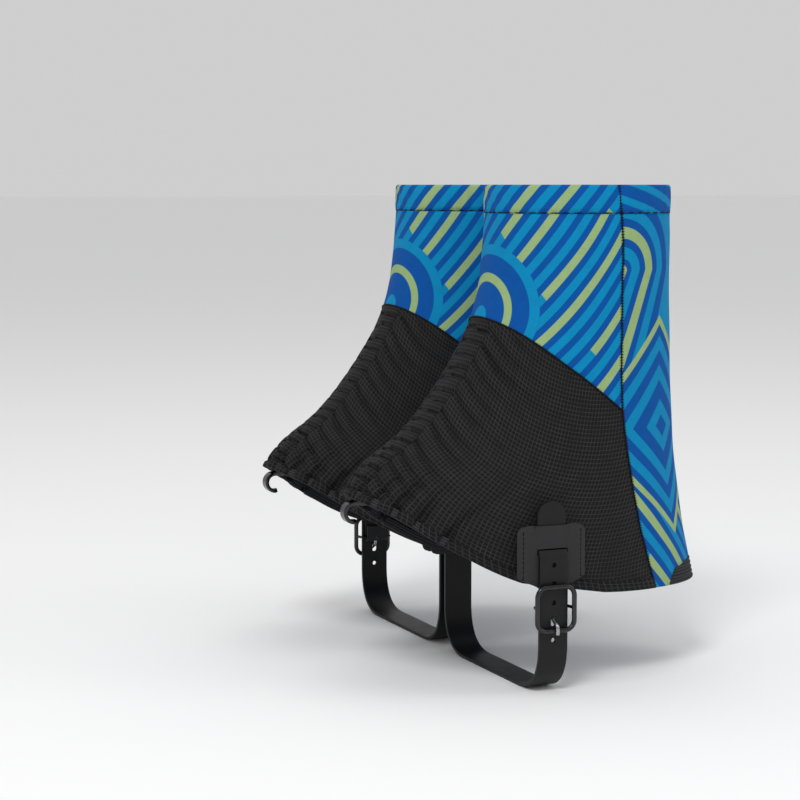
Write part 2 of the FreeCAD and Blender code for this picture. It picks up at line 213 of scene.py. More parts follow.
def inkColour(finish, light, sage, where):
    cloudSize, cloud = inkShade["cloud"]
    grainSize, grain = inkShade["grain"]
    fade = finish.noise(where, cloudSize)
    colour = finish.mix(light, inks["dark"], inks["light"])
    colour = finish.mix(sage, colour, inks["sage"])
    shade = fade * cloud + finish.noise(where, grainSize, detail=1.0) * grain + inkShade["least"]
    shade = finish.node("ShaderNodeCombineColor", {}, {0: shade, 1: shade, 2: shade})
    return finish.mix(1.0, colour, shade, "MULTIPLY")


knitSizes = {"stitch": 0.8, "course": 0.6, "height": 0.035}


def knitFinish(name, drawing):
    finish = Finish(name, Roughness=0.75, Specular_IOR_Level=0.12)
    where, (u, v, _) = finish.coordinates()
    finish.colour(inkColour(finish, *drawing(u, v), where))
    wales = (u * (math.tau / knitSizes["stitch"])).sine()
    finish.bump(wales * 0.5 + (v * (math.tau / knitSizes["course"]) + wales).sine() * 0.5, knitSizes["height"])
    return finish.material


def frontDrawing(u, v):
    light, sage = stripes(u, v)
    low = v - archSizes["height"]
    distance = (u * u + low * low) ** 0.5
    dot, sageIn, sageOut, rimIn, rimOut = archSizes["radii"]
    outside = distance.over(rimOut, inkEdge)
    inside = 1.0 - outside
    archLight = distance.between(rimIn, rimOut, inkEdge).most(1.0 - distance.over(dot, inkEdge))
    archSage = distance.between(sageIn, sageOut, inkEdge)
    return light * outside + archLight * inside, sage * outside + archSage * inside


def rearDrawing(u, v):
    # u runs from the side seam to the back of the heel
    steps = diamondSizes["steps"]
    distance = abs(u - diamondSizes["across"]) + abs(v - diamondSizes["height"])
    outside = distance.over(steps[7], inkEdge)
    inside = 1.0 - outside
    light = rings(distance, steps[:6])
    sage = distance.between(steps[6], steps[7], inkEdge)
    low = v - loopSizes["height"]
    leaning = abs(u - low.least(0.0) * loopSizes["lean"])
    loop = (leaning * leaning + low.most(0.0) * low.most(0.0)) ** 0.5
    bands = loopSizes["steps"]
    loopLight = rings(loop, (bands[1], bands[2], bands[5], bands[6])).most(loop.over(bands[7], inkEdge))
    loopSage = loop.between(bands[3], bands[4], inkEdge).most(1.0 - loop.over(bands[0], inkEdge))
    # the stripes below the diamonds slope the other way
    lowLight, lowSage = stripes(v * 0.55 + 20.0, 30.0 - u * 1.1)
    above = v.over(diamondSizes["height"], inkEdge)
    otherLight = loopLight * above + lowLight * (1.0 - above)
    otherSage = loopSage * above + lowSage * (1.0 - above)
    return light * inside + otherLight * outside, sage * inside + otherSage * outside


def cuffDrawing(u, v):
    return stripes(u * 0.9 + 9.0, v + 4.0)


def rearCuffDrawing(u, v):
    return ((v + u * 0.3) / 9.5).fract().between(0.1, 0.48, 0.05), 0.0


def liningDrawing(u, v):
    # the print shows through the back of the knit as a dull even blue
    return stripes(u, v)[0] * 0.25 + 0.2, 0.0


# Black cloths

ripstop = {"pitch": 1.9, "thread": 0.4, "float": 0.63, "weave": 0.32, "height": 0.07}


def wave(place, pitch):
    return (place * (math.tau / pitch)).sine()


def ripstopFinish():
    finish = Finish("ripstop", Roughness=0.6, Specular_IOR_Level=0.14)
    where, (u, v, _) = finish.coordinates()
    threadU, threadV = (
        abs((place / ripstop["pitch"]).fract() - 0.5).over(ripstop["thread"], 0.08) for place in (u, v)
    )
    overU, overV = (wave(place, ripstop["float"]) * 0.35 + 0.65 for place in (v, u))
    grid = (threadU * overU).most(threadV * overV)
    worn = finish.noise(where, 8.0, detail=4.0, roughness=0.65)
    lift = (grid * (worn * 1.4)).least(1.0)
    finish.colour(finish.mix(lift, (0.006, 0.006, 0.0065, 1.0), (0.047, 0.047, 0.049, 1.0)))
    finish.roughness(0.7 - grid * 0.16)
    finish.bump(grid + wave(u, ripstop["weave"]) * wave(v, ripstop["weave"]) * 0.25, ripstop["height"])
    return finish.material


elastic = {"row": 1.5, "pick": 0.7, "height": 0.12}


def elasticFinish():
    finish = Finish("elasticRib", Roughness=0.75, Specular_IOR_Level=0.2)
    _, (u, v, _) = finish.coordinates()
    rows = wave(v, elastic["row"])
    picks = (u * (math.tau / elastic["pick"]) + rows * 1.5).sine()
    # painted shade and highlight: the colour is darker in the valleys between the rows and picks and lighter on
    # their crests, following the same waves as the bump
    shade = rows * 0.35 + picks * 0.15 + 0.5
    finish.colour(finish.mix(shade, (0.008, 0.008, 0.009, 1.0), (0.045, 0.045, 0.048, 1.0)))
    finish.bump(rows + picks * 0.3, elastic["height"])
    return finish.material


def black(shade, blue):
    return shade, shade, shade + blue, 1.0


def smoothFinish(name, base, worn, rough, grainSize, grainDepth, **fixed):
    # moulded, coated or plated surfaces: a fine grain, clouded colour and lighter rubbed spots
    finish = Finish(name, **fixed)
    where, _ = finish.coordinates("Object")
    cloud = finish.noise(where, 7.0, detail=4.0)
    grain = finish.noise(where, grainSize, detail=3.0, roughness=0.6)
    rub = finish.noise(where, 2.2, detail=5.0, roughness=0.7).over(0.62, 0.12)
    finish.colour(finish.mix(cloud * 0.5 + rub * 0.5, base, worn))
    finish.roughness(cloud * 0.12 + rub * 0.06 + rough)
    finish.bump(grain, grainDepth)
    return finish.material


finishes = {
    "printFront": knitFinish("printFront", frontDrawing),
    "printRear": knitFinish("printRear", rearDrawing),
    "printCuff": knitFinish("printCuff", cuffDrawing),
    "printCuffRear": knitFinish("printCuffRear", rearCuffDrawing),
    "lining": knitFinish("lining", liningDrawing),
    "ripstop": ripstopFinish(),
    "elastic": elasticFinish(),
    "patch": smoothFinish(
        "coatedPatch", black(0.017, 0.001), black(0.031, 0.002), 0.55, 0.5, 0.05, Specular_IOR_Level=0.25),
    "strap": smoothFinish(
        "strapRubber", black(0.005, 0.0005), black(0.013, 0.001), 0.4, 0.7, 0.03, Specular_IOR_Level=0.24),
    "blackMetal": smoothFinish(
        "blackMetal", black(0.026, 0.002), black(0.07, 0.002), 0.14, 0.6, 0.004,
        Metallic=1.0, Coat_Weight=0.25, Coat_Roughness=0.06),
    "brightMetal": smoothFinish(
        "brightMetal", black(0.32, 0.01), black(0.5, 0.0), 0.16, 0.5, 0.005, Metallic=1.0),
    "thread": smoothFinish(
        "blackThread", black(0.0025, 0.0005), black(0.009, 0.001), 0.7, 0.25, 0.06, Specular_IOR_Level=0.15),
    "webbing": smoothFinish(
        "webbing", black(0.009, 0.001), black(0.03, 0.002), 0.68, 0.35, 0.1, Sheen_Weight=0.2),
}
print("finishes made:", len(finishes))


# The sleeve's surface: oval sections down the leg and out over the instep.
# Each row: front x, front z, back x, back z, half width, in millimetres from the leg's axis

sleeve = {
    "rim": (-45.0, 237.0, 45.0, 237.0, 45.0),
    "shin": (-46.5, 205.0, 45.3, 203.0, 44.0),
    "ankle": (-53.0, 174.0, 46.6, 168.0, 43.0),
    "bend": (-67.5, 148.0, 48.5, 136.0, 42.5),
    "instep": (-90.0, 121.0, 51.5, 107.0, 43.5),
    "vamp": (-112.0, 104.0, 55.5, 80.0, 46.0),
    "edge": (-124.0, 88.0, 60.5, 55.0, 49.0),
    "skirt": (-128.0, 66.0, 66.0, 32.0, 49.5),
}
stations = list(sleeve.values())
lastStation = len(stations) - 1.0

# side-view lines, as points (x, z) from front to back, or (z, x) from bottom to top for the seam
lines = {
    "hem": [(-136, 101), (-121, 90.5), (-80, 66), (-47, 50.8), (-10, 45.2), (36, 43), (80, 42)],
    "panel": [(-80, 190), (-53, 174), (-26.5, 153), (3.3, 130.4), (30, 108)],
    "seam": [(20, 30), (63.5, 16.6), (90, 10.5), (131, 3.5), (183, 1.5), (212, 1), (250, -3)],
    "heel": [(28, 30), (33.5, 43.5), (37.5, 50), (58, 53.5), (80, 55.5)],
}


def eased(a, b, c, d, t):
    # a smooth step from b to c that heads on to d as it came from a
    square, cube = (2 * a - 5 * b + 4 * c - d) * t * t, (3 * b - a - 3 * c + d) * t * t * t
    return 0.5 * (2 * b + (c - a) * t + square + cube)


def along(line, where):
    # the second number of a line at its first one, on a smooth curve through the points
    points = lines[line]
    place = 0
    while place < len(points) - 2 and where > points[place + 1][0]:
        place += 1
    (x1, z1), (x2, z2) = points[place], points[place + 1]
    z0 = points[place - 1][1] if place else z1
    z3 = points[place + 2][1] if place + 2 < len(points) else z2
    t = min(max((where - x1) / (x2 - x1), 0.0), 1.0)
    return eased(z0, z1, z2, z3, t)


def station(t):
    place = min(int(t), len(stations) - 2)
    rows = [stations[min(max(place + step, 0), len(stations) - 1)] for step in (-1, 0, 1, 2)]
    return [eased(*numbers, t - place) for numbers in zip(*rows)]


def surface(angle, t, inset=0.0):
    # a point of the sleeve in mm: angle 0 is the front ridge, pi the back, t counts the sections
    frontX, frontZ, backX, backZ, halfWidth = station(t)
    centre = Vector(((frontX + backX) / 2, 0, (frontZ + backZ) / 2))
    half = Vector(((frontX - backX) / 2, 0, (frontZ - backZ) / 2))
    half *= (half.length - inset) / half.length
    return centre + half * math.cos(angle) + Vector((0, -(halfWidth - inset) * math.sin(angle), 0))


def solve(test, low, high, steps=22):
    # where a test that is true at low turns false
    for _ in range(steps):
        middle = (low + high) / 2
        if test(middle):
            low = middle
        else:
            high = middle
    return (low + high) / 2


def tAt(angle, test):
    # the section number where a test on the surface turns false, going down one angle
    return solve(lambda t: test(surface(angle, t)), 0.0, lastStation)


def seamAngleAt(t):
    def ahead(angle):
        point = surface(angle, t)
        return point.x < along("seam", point.z)
    return solve(ahead, 0.3, 3.0)


seamStep = 0.05
seamTable = [seamAngleAt(k * seamStep) for k in range(round(lastStation / seamStep) + 1)]


def seamAngle(t):
    place = min(max(t / seamStep, 0.0), len(seamTable) - 1.001)
    low = int(place)
    return seamTable[low] + (seamTable[low + 1] - seamTable[low]) * (place - low)


# Making pieces

def place(side, shell, name, finish, slot, *stands, body="gaiter", wall=0.0, offset=0.0, bevel=0.0, lining=""):
    # a bmesh in the left gaiter's millimetres becomes a piece of one side
    shell = shell.copy()
    shell.transform(placings[side])
    if side == "right":
        bmesh.ops.reverse_faces(shell, faces=shell.faces)
    mesh = bpy.data.meshes.new(side + "_" + name)
    shell.to_mesh(mesh)
    shell.free()
    for face in mesh.polygons:
        face.use_smooth = True
    mesh.materials.append(finishes[finish])
    thing = bpy.data.objects.new(side + "_" + name, mesh)
    bpy.context.scene.collection.objects.link(thing)
    if wall:
        solid = thing.modifiers.new("wall", "SOLIDIFY")
        solid.thickness, solid.offset, solid.use_even_offset = wall * mm, offset, False
        if lining:
            mesh.materials.append(finishes[lining])
            solid.material_offset = 1
    if bevel:
        soft = thing.modifiers.new("soft", "BEVEL")
        soft.width, soft.segments, soft.limit_method, soft.angle_limit = bevel * mm, 2, "ANGLE", math.radians(40)
    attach(thing, side + "_" + body)
    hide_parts(*[side + "_" + node for node in stands])
    return thing


def smoothStep(value):
    value = min(max(value, 0.0), 1.0)
    return value * value * (3 - 2 * value)


def panel(spanAt, belowTop, belowBottom, columns, rows, inset=0.0):
    # a grid laid on the sleeve between two lines: spanAt gives its two edge angles at t
    shell = bmesh.new()
    bmesh.ops.create_grid(shell, x_segments=columns, y_segments=rows, size=1)
    grid = {}
    for vert in shell.verts:
        grid[round((vert.co.x + 1) / 2 * columns), round((1 - vert.co.y) / 2 * rows)] = vert
    for column in range(columns + 1):
        share = column / columns

        def at(t):
            first, last = spanAt(t)
            return surface(first + (last - first) * share, t, inset)
        top = solve(lambda t: not belowTop(at(t)), 0.0, lastStation)
        bottom = solve(lambda t: not belowBottom(at(t)), top, lastStation)
        for row in range(rows + 1):
            grid[column, row].co = at(top + (bottom - top) * row / rows)
    shell.normal_update()
    middle = grid[columns // 2, rows // 2]
    outwards = middle.co - Vector((0, 0, middle.co.z))
    if middle.normal.dot(outwards) < 0:
        bmesh.ops.reverse_faces(shell, faces=shell.faces)
        shell.normal_update()
    return shell, grid


def measure(grid, columns, rows):
    # cloth coordinates of a panel: across from its middle column, down from a line square to the columns
    downs = {}
    for column in range(columns + 1):
        length = 0.0
        downs[column] = [0.0]
        for row in range(1, rows + 1):
            length += (grid[column, row].co - grid[column, row - 1].co).length
            downs[column].append(length)
    middle = columns // 2
    rounds = {}
    for row in range(rows + 1):
        for step in (1, -1):
            length, column = 0.0, middle
            rounds[middle, row] = 0.0
            while 0 <= column + step <= columns:
                length += (grid[column + step, row].co - grid[column, row].co).length
                column += step
                rounds[column, row] = length * step
    start = {middle: downs[middle][rows // 2]}
    acrosses = {middle: 0.0}
    for step in (1, -1):
        column, foot = middle, grid[middle, rows // 2].co
        while 0 <= column + step <= columns:
            column += step
            best = None
            for row in range(rows):
                first, run = grid[column, row].co, grid[column, row + 1].co - grid[column, row].co
                share = min(max((foot - first).dot(run) / max(run.length_squared, 1e-9), 0.0), 1.0)
                spot = first + run * share
                if best is None or (spot - foot).length < best[0]:
                    best = ((spot - foot).length, spot, downs[column][row] + run.length * share)
            acrosses[column] = acrosses[column - step] + step * best[0]
            start[column], foot = best[2], best[1]
    return downs, start, acrosses, rounds


def setCloth(shell, values):
    # the cloth map, from millimetres across and down by vertex
    cloth = shell.loops.layers.uv.new("cloth")
    for face in shell.faces:
        for loop in face.loops:
            across, down = values[loop.vert]
            loop[cloth].uv = (across / clothScale, down / clothScale)


# Gathers and folds of the front cloth, in mm

gathers = {
    "casing": 10.5, "pitch": 6.6, "valley": 0.9, "depth": 2.1, "edge": 0.35, "edgeWidth": 0.8,
    "crease": 2.2, "creasePitch": 8.91, "creaseRun": 40.0, "widening": 22.0, "lean": 0.6, "leanRun": 46.0,
    "folds": (6.0, 19.0, 31.0, 44.0, 58.0), "foldWidth": 2.3, "foldDepth": 4.3, "foldRun": 20.0, "foldLean": 0.45,
    "drape": 0.9, "drapeSize": 24.0,
}


def chance(seed, place):
    return 0.5 + 0.5 * noise.noise(Vector((seed * 7.31 + 0.5, place * 3.77 + 0.31, 0.7)))


def valley(where, pitch, width, seed):
    # how deep a row of unevenly spaced valleys is at a place along it
    deepest, here = 0.0, math.floor(where / pitch)
    for index in (here - 1, here, here + 1):
        centre = (index + 0.5 + 0.7 * (chance(seed, index) - 0.5)) * pitch
        strength = 0.35 + 1.1 * chance(seed + 3.3, index)
        deepest = max(deepest, strength * math.exp(-(((where - centre) / width) ** 2)))
    return deepest


def leanTo(beyond):
    # how far down the gathers and the cloth's own threads have run, going away from the casing
    return gathers["lean"] * gathers["leanRun"] * (1.0 - math.exp(-beyond / gathers["leanRun"]))


def puckers(across, down, toHem, fromTop, toSeam, seed):
    near = abs(across)
    casing = gathers["casing"]
    inside = 1.0 - smoothStep((near - casing + 1.0) / 2.0)
    depth = inside * gathers["depth"] * valley(down, gathers["pitch"], gathers["valley"], seed)
    depth += gathers["edge"] * math.exp(-(((near - casing) / gathers["edgeWidth"]) ** 2))
    beyond = max(near - casing, 0.0)
    width = gathers["valley"] * (1.0 + beyond / gathers["widening"])
    fade = (1.0 - inside) * math.exp(-((beyond / gathers["creaseRun"]) ** 2))
    where = down - leanTo(beyond) + 1.5 * noise.noise(Vector((near * 0.06, down * 0.03, seed)))
    depth += fade * gathers["crease"] * valley(where, gathers["creasePitch"], width, seed + 1.7)
    for index, centre in enumerate(gathers["folds"]):
        off = near - centre - toHem * gathers["foldLean"] * (chance(seed + 5.1, index) - 0.2)
        run = gathers["foldRun"] * (0.6 + 0.8 * chance(seed + 8.2, index))
        depth += gathers["foldDepth"] * math.exp(-((off / gathers["foldWidth"]) ** 2) - (toHem / run) ** 2)
    soft = smoothStep(fromTop / 5.0) * smoothStep(toSeam / 9.0)
    drape = gathers["drape"] * noise.noise(Vector((across, down, seed * 9)) / gathers["drapeSize"])
    return (drape - depth) * soft


def aboveLine(*names, lift=0.0):
    return lambda point: point.z > max(along(name, point.x) for name in names) + lift


def belowLine(*names, lift=0.0):
    return lambda point: point.z < max(along(name, point.x) for name in names) + lift


def aboveLevel(level):
    return lambda point: point.z > level


def belowLevel(level):
    return lambda point: point.z < level


def frontSpan(t):
    return -seamAngle(t), seamAngle(t)


def rearSpan(t):
    return seamAngle(t), math.tau - seamAngle(t)


coarse = 1.0
cuff = {"low": 223.5, "top": 237.2, "wall": 2.0, "radius": 45.0, "columns": int(160 * coarse) * 2}


# Stitches and threads

threads = {
    # a stitch is (length, pitch, radius) in mm
    "sides": 5, "cuff": (2.3, 2.63, 0.27), "tick": (1.7, 1.35, 0.19), "casing": (1.9, 2.6, 0.2),
    "hem": (2.0, 2.8, 0.2), "patch": (1.6, 2.25, 0.36), "seam": 0.26, "piping": 0.4,
}


def spaced(points, step):
    # (point, direction) at even steps along a line of points
    made, carry = [], 0.0
    for first, last in zip(points, points[1:]):
        run = last - first
        length = run.length
        if length < 1e-6:
            continue
        where = carry
        while where < length:
            made.append((first + run * (where / length), run / length))
            where += step
        carry = where - length
    return made


def stitches(shell, points, kind, outOf, across=False, lift=0.0):
    # one little rounded bar for each stitch, along the line or across it
    length, pitch, radius = threads[kind]
    for point, direction in spaced(points, pitch):
        normal = outOf(point)
        run = direction.cross(normal).normalized() if across else direction
        side = normal.cross(run).normalized()
        turn = Matrix((side, normal, run)).transposed().to_4x4()
        turn.translation = point + normal * lift
        made = bmesh.ops.create_cone(
            shell, cap_ends=True, segments=threads["sides"], radius1=radius, radius2=radius,
            depth=length, matrix=turn)["verts"]
        for vert in made:
            if abs((vert.co - turn.translation).dot(run)) > length * 0.4:
                vert.co -= normal * radius * 0.7


def tube(shell, points, radius, sides=8, closed=False):
    # a round bar along a line of points, made by a curve's own bevel
    curve = bpy.data.curves.new("bar", "CURVE")
    curve.dimensions = "3D"
    curve.bevel_depth, curve.bevel_resolution, curve.use_fill_caps = radius, sides // 4, True
    line = curve.splines.new("POLY")
    line.points.add(len(points) - 1)
    for spot, point in zip(line.points, points):
        spot.co = (*point, 1)
    line.use_cyclic_u = closed
    holder = bpy.data.objects.new("bar", curve)
    mesh = bpy.data.meshes.new_from_object(holder)
    shell.from_mesh(mesh)
    bpy.data.objects.remove(holder)
    bpy.data.curves.remove(curve)
    bpy.data.meshes.remove(mesh)
    return shell


def roundedPath(corners, step=0.7):
    # a line round its corners (point, radius), from the first to the last
    points = [corners[0][0].copy()]
    for (before, _), (corner, radius), (after, _) in zip(corners, corners[1:], corners[2:]):
        inwards, outwards = (before - corner).normalized(), (after - corner).normalized()
        first, last = corner + inwards * radius, corner + outwards * radius
        count = max(3, round(radius * 1.6 / step))
        points += [
            first * (1 - k / count) ** 2 + corner * 2 * (k / count) * (1 - k / count) + last * (k / count) ** 2
            for k in range(count + 1)
        ]
    points.append(corners[-1][0].copy())
    return points


def pathLengths(path):
    lengths = [0.0]
    for first, last in zip(path, path[1:]):
        lengths.append(lengths[-1] + (last - first).length)
    return lengths


def punch(flat, cell, across, down, radius, runAcross=0.0, runDown=0.0):
    # an opening with round ends through a flat strip of cells
    def away(spot):
        return math.hypot(max(abs(spot.x - across) - runAcross, 0), max(abs(spot.y - down) - runDown, 0))
    gone = [face for face in flat.faces if away(face.calc_center_median()) < radius + cell * 0.6]
    bmesh.ops.delete(flat, geom=gone, context="FACES")
    rim = [edge for edge in flat.edges
           if edge.is_boundary and max(away(vert.co) for vert in edge.verts) < radius + cell * 2.0]
    where = Matrix.Translation((across, down, 0)) @ Matrix.Rotation(0.11, 4, "Z")
    ring = bmesh.ops.create_circle(flat, segments=28, radius=radius, matrix=where)["verts"]
    for vert in ring:
        vert.co.x += math.copysign(runAcross, vert.co.x - across)
        vert.co.y += math.copysign(runDown, vert.co.y - down)
    ringEdges = {edge for vert in ring for edge in vert.link_edges}
    bmesh.ops.bridge_loops(flat, edges=rim + list(ringEdges))


def bentStrip(path, across, halfWidth, cell=1.0, openings=(), shapeAt=None):
    # a flat strip with its outline and openings, then bent along a path
    lengths = pathLengths(path)
    total = lengths[-1]
    widest = max(halfWidth(total * k / 80) for k in range(81))
    columns, rows = max(4, round(2 * widest / cell)), round(total / cell)
    flat = bmesh.new()
    bmesh.ops.create_grid(flat, x_segments=columns, y_segments=rows, size=0.5)
    for vert in flat.verts:
        down = (vert.co.y + 0.5) * total
        vert.co = Vector((vert.co.x * 2 * halfWidth(down), down, 0))
    for opening in openings:
        punch(flat, cell, *opening)
    cloth = {vert: (vert.co.x, vert.co.y) for vert in flat.verts}
    place = 0
    for vert in sorted(flat.verts, key=lambda vert: vert.co.y):
        sideways, down = vert.co.x, min(max(vert.co.y, 0.0), total)
        while place < len(lengths) - 2 and lengths[place + 1] < down:
            place += 1
        share = (down - lengths[place]) / max(lengths[place + 1] - lengths[place], 1e-9)
        spot = path[place].lerp(path[place + 1], share)
        if shapeAt:
            spot = spot + shapeAt(sideways, down)
        vert.co = spot + across * sideways
    bmesh.ops.recalc_face_normals(flat, faces=flat.faces)
    setCloth(flat, cloth)
    return flat


# The cloth panels of one side

panels = {
    "upper_front_panel": {
        "piece": "front_print", "finish": "printFront", "lining": "lining", "slot": "printed_knit", "wall": 0.8,
        "span": frontSpan, "top": belowLevel(cuff["low"]), "bottom": belowLine("panel"), "cells": (120, 56),
        "held": "stretched", "from": "cuff_band", "flat": (0.148, 0.094), "area": 0.0099,
    },
    "lower_panel": {
        "piece": "gathered_front", "finish": "ripstop", "lining": "", "slot": "ripstop", "wall": 0.55,
        "span": frontSpan, "top": belowLine("panel"), "bottom": belowLine("hem"),
        "cells": (int(240 * coarse), int(170 * coarse)),
        "held": "gathered", "from": "front_print", "flat": (0.252, 0.135), "area": 0.0316,
    },
    "rear_panel": {
        "piece": "rear_print", "finish": "printRear", "lining": "lining", "slot": "printed_knit", "wall": 0.8,
        "span": rearSpan, "top": belowLevel(cuff["low"]), "bottom": belowLine("hem", "heel"), "cells": (120, 120),
        "held": "stretched", "from": "cuff_band", "flat": (0.132, 0.183), "area": 0.0230,
    },
}


def makePanel(name, seed, way):
    columns, rows = panels[name]["cells"]
    shell, grid = panel(panels[name]["span"], panels[name]["top"], panels[name]["bottom"], columns, rows)
    downs, start, acrosses, rounds = measure(grid, columns, rows)
    half = acrosses[columns]
    cloth, moved = {}, {}
    for (column, row), vert in grid.items():
        across, length = acrosses[column], downs[column]
        if name == "lower_panel":
            around, down = rounds[column, row], length[row] - start[column]
            beyond = max(abs(around) - gathers["casing"], 0.0)
            tilt = 0.45 * gathers["lean"] * math.exp(-beyond / gathers["leanRun"]) * down
            cloth[vert] = (0.5 * across + 0.5 * around + math.copysign(tilt, around), down - 0.7 * leanTo(beyond))
            seedHere = seed + (0.0 if across > 0 else 0.4)
            toSeam = abs(rounds[0 if across < 0 else columns, row]) - abs(around)
            offset = puckers(around, down, length[-1] - length[row], length[row], toSeam, seedHere)
        else:
            away = across * way if name == "upper_front_panel" else half - abs(across)
            cloth[vert] = (away, vert.co.z)
            edges = smoothStep(length[row] / 12.0) * smoothStep((length[-1] - length[row]) / 12.0)
            edges *= smoothStep((half - abs(across)) / 14.0)
            offset = 0.7 * edges * noise.noise(Vector((across * 0.028, vert.co.z * 0.03, seed)))
        moved[vert] = vert.co + vert.normal * offset
    for vert, spot in moved.items():
        vert.co = spot
    shell.normal_update()
    setCloth(shell, cloth)
    return shell, grid


# Cuff: a folded band over an elastic, printed like the panels below it

def makeCuff(way):
    shell = bmesh.new()
    wall, low, top, radius = cuff["wall"], cuff["low"], cuff["top"], cuff["radius"]
    profile = [(0.0, low), (-0.25, low + 3), (-0.3, low + 8), (-0.1, top - 1.2), (0.35, top - 0.35), (1.0, top),
               (wall - 0.35, top - 0.35), (wall, top - 1.3), (wall + 0.2, low + 7), (wall, low + 0.6)]
    columns, rows = cuff["columns"], len(profile) - 1
    bmesh.ops.create_grid(shell, x_segments=columns, y_segments=rows, size=1)
    cloth, turns = {}, {}
    seam = seamAngle(0.2)
    rear = (math.tau - 2 * seam) * radius
    for vert in shell.verts:
        share = (vert.co.x + 1) / 2
        inset, level = profile[round((1 - vert.co.y) / 2 * rows)]
        angle = share * math.tau + seam
        t = tAt(angle, aboveLevel(level)) if level < rimZ / mm - 0.2 else 0.0
        ripple = 0.16 * math.sin(angle * 46 + 1.3 * math.sin(angle * 7)) if 0 < inset + 0.5 < wall else 0.0
        vert.co = surface(angle, t, inset + ripple)
        vert.co.z = level
        turned = share * math.tau * radius
        # the rear print is the same on both sides, and the front's runs from one seam to the other
        away = min(turned, rear - turned) if turned < rear else way * (turned - rear - seam * radius)
        cloth[vert] = (away, level)
        turns[vert] = turned - rear
    bmesh.ops.recalc_face_normals(shell, faces=shell.faces)
    setCloth(shell, cloth)
    for face in shell.faces:
        face.material_index = 1 if max(turns[vert] for vert in face.verts) < 0.01 else 0
    bmesh.ops.remove_doubles(shell, verts=shell.verts, dist=0.01)
    upper = max(shell.faces, key=lambda face: face.calc_center_median().z)
    if upper.normal.z < 0:
        bmesh.ops.reverse_faces(shell, faces=shell.faces)
    return shell


hem = {"height": 5.5, "wall": 0.6, "sewn": 4.4, "elastic": 5.0, "elasticIn": 2.6}


def hemRoll(grid, columns, rows):
    # the lower edge turned in and sewn: a flat loop that follows the cloth's last rows
    height, wall = hem["height"], hem["wall"]
    section = [(height, 0.1), (height - 0.4, 0.42), (height / 2, 0.5), (0.5, 0.45), (-0.15, 0.1),
               (-0.25, -wall / 2), (0.2, -wall - 0.2), (height / 2, -wall - 0.3), (height, -wall)]
    roll = bmesh.new()
    bmesh.ops.create_grid(roll, x_segments=columns, y_segments=len(section), size=1)
    cloth = {}
    for vert in roll.verts:
        column = round((vert.co.x + 1) / 2 * columns)
        up, out = section[round((1 - vert.co.y) / 2 * len(section)) % len(section)]
        edge, row = grid[column, rows], rows
        normal = edge.normal
        where = edge.co + (edge.co - grid[column, rows - 1].co).normalized() * max(-up, 0)
        left = up
        while left > 0 and row > 1:
            run = grid[column, row - 1].co - grid[column, row].co
            if run.length >= left:
                where = grid[column, row].co + run * (left / run.length)
                break
            left -= run.length
            row -= 1
        vert.co = where + normal * out
        cloth[vert] = (column * 0.9, up)
    setCloth(roll, cloth)
    bmesh.ops.remove_doubles(roll, verts=roll.verts, dist=0.001)
    bmesh.ops.holes_fill(roll, edges=[edge for edge in roll.edges if edge.is_boundary], sides=20)
    bmesh.ops.recalc_face_normals(roll, faces=roll.faces)
    return roll


# Outer side: patch, strap, buckle and prong. All in the left gaiter's millimetres

patch = {
    "x": -39.5, "out": -52.5, "top": 79.6, "half": 17.5, "corner": 3.6, "funnel": (56.0, 48.5), "tab": 6.0,
    "slotZ": 67.4, "slotHalf": 6.6, "slotRadius": 1.5, "wall": 1.1,
}
strap = {
    "half": 7.3, "wall": 1.6, "holes": (61.3, 52.4, 43.5, 25.7), "holeRadius": 1.2,
    "slot": (32.2, 37.0), "slotRadius": 1.4,
    "tip": 91.0, "behind": -51.1, "front": -53.9, "inner": 51.7, "bottom": 0.8, "bend": 23.0, "end": 74.0,
}
buckle = {
    "z": 41.0, "halfWide": 9.6, "halfHigh": 10.3, "corner": 4.6, "out": -57.0, "bar": 1.22, "flat": 0.92,
    "pinOut": -51.0, "pin": 0.9, "pinHalf": 7.9, "cheek": 0.75,
}
prong = {"out": -59.3, "wire": 0.95, "tip": 29.2}
anchor = {"half": 16.0, "corner": 3.5, "top": 80.0, "length": 30, "y": 50.3, "wall": 1.1}
hook = {
    "barX": -107.0, "z": 87.6, "bendX": -118.3, "radius": 4.5, "sweep": 200.0, "half": 4.5, "claw": 2.5,
    "wall": 1.9, "bar": 1.25, "barHalf": 4.45, "loopHalf": 2.8, "loopWall": 0.8, "loopPlay": 0.5,
}
alongX, alongY = Vector((1, 0, 0)), Vector((0, 1, 0))


def patchHalf(down):
    z = patch["top"] - down
    high, low = patch["funnel"]
    if z > patch["top"] - patch["corner"]:
        gap = patch["corner"] - down
        return patch["half"] - patch["corner"] + math.sqrt(max(patch["corner"] ** 2 - gap ** 2, 0.0))
    if z > high:
        return patch["half"]
    return patch["tab"] + (patch["half"] - patch["tab"]) * (1 - smoothStep((high - z) / (high - low))) ** 1.4


def patchPath():
    x, out, pinOut, pinZ = patch["x"], patch["out"], buckle["pinOut"], buckle["z"]
    return roundedPath([
        (Vector((x, out, patch["top"])), 0), (Vector((x, out, 52.0)), 4.0), (Vector((x, pinOut - 1.7, 44.0)), 1.0),
        (Vector((x, pinOut - 1.7, pinZ - 1.75)), 1.7), (Vector((x, pinOut + 1.7, pinZ - 1.75)), 1.7),
        (Vector((x, pinOut + 1.7, 47.5)), 0),
    ])


def patchBulge(across, down):
    # the edges sit down on the cloth
    near = max(0.0, (abs(across) - patch["half"] + 5.0) / 5.0)
    top = max(0.0, 1 - down / 4.0) * (1.0 if abs(across) > 8.5 else 0.0)
    return Vector((0, 1.3 * min(near * near + top * top, 1.0), 0))


